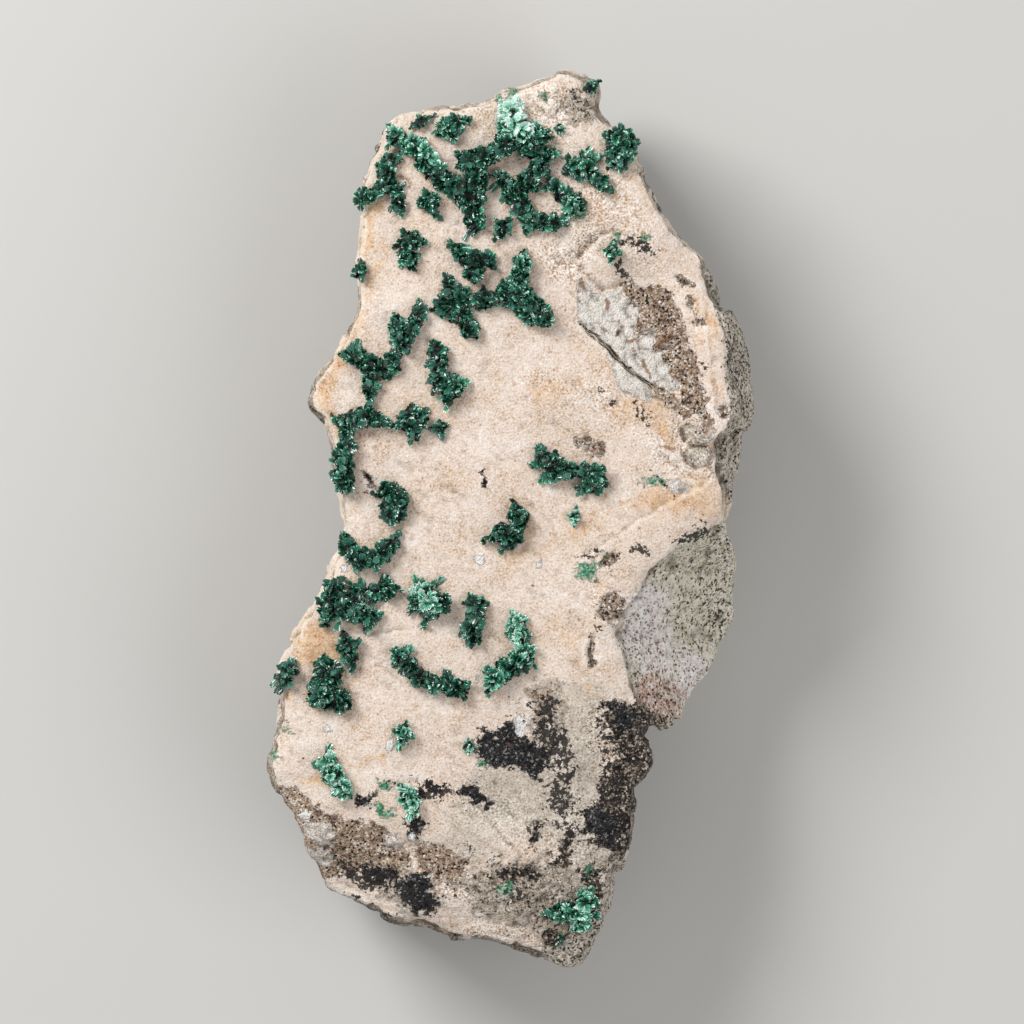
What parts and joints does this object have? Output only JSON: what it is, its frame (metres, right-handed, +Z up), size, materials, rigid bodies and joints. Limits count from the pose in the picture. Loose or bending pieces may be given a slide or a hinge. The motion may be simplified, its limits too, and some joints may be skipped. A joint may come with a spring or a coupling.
{
  "type": "malachite mineral specimen on rock matrix",
  "caption": "A broken slab of pale clay-coated rock lying on its flat back, its face sprinkled with knots and short chains of dark green malachite crystals",
  "frame": {"origin": "middle of the footprint, on the plane the slab rests on", "axes": "+Z up, out of the crystal-bearing face; the long way of the slab along Y, with its narrow tip towards +Y; +X to the right when the face is seen from above"},
  "size_m": [0.073, 0.135, 0.0405],
  "materials": {
    "matrix_stone": "dull earthy clay coat over grainy grey-brown rock, with ochre and black stains",
    "malachite": "glassy dark green bladed crystals with paler silky tips"
  },
  "bodies": {
    "root": {"matrix": "matrix_stone", "malachite_tip_bead": "malachite", "malachite_top_edge_sprig": "malachite", "malachite_upper_sprig": "malachite", "malachite_left_ridge": "malachite", "malachite_left_fork": "malachite", "malachite_small_fan": "malachite", "malachite_crown": "malachite", "malachite_crown_tail": "malachite", "malachite_spindle": "malachite", "malachite_lower_pair": "malachite", "malachite_small_bead": "malachite", "malachite_right_knob": "malachite", "malachite_right_sprig": "malachite", "malachite_rim_bead": "malachite", "malachite_twin_tuft": "malachite", "malachite_trefoil": "malachite", "malachite_edge_bead": "malachite", "malachite_long_chain": "malachite", "malachite_upper_hook": "malachite", "malachite_west_cross": "malachite", "malachite_ladder": "malachite", "malachite_low_ladder": "malachite", "malachite_edge_chain": "malachite", "malachite_flower": "malachite", "malachite_flower_bud": "malachite", "malachite_west_rosette": "malachite", "malachite_double_knot": "malachite", "malachite_centre_knot": "malachite", "malachite_west_crescent": "malachite", "malachite_west_block": "malachite", "malachite_short_link": "malachite", "malachite_ball": "malachite", "malachite_column": "malachite", "malachite_far_left_tuft": "malachite", "malachite_lower_block": "malachite", "malachite_bent_chain": "malachite", "malachite_green_stair": "malachite", "malachite_middle_tuft": "malachite", "malachite_lower_wing": "malachite", "malachite_lower_sprig": "malachite", "malachite_pale_dot": "malachite", "malachite_corner_spray": "malachite", "malachite_corner_bead": "malachite", "malachite_pale_speck": "malachite"}
  },
  "joints": []
}
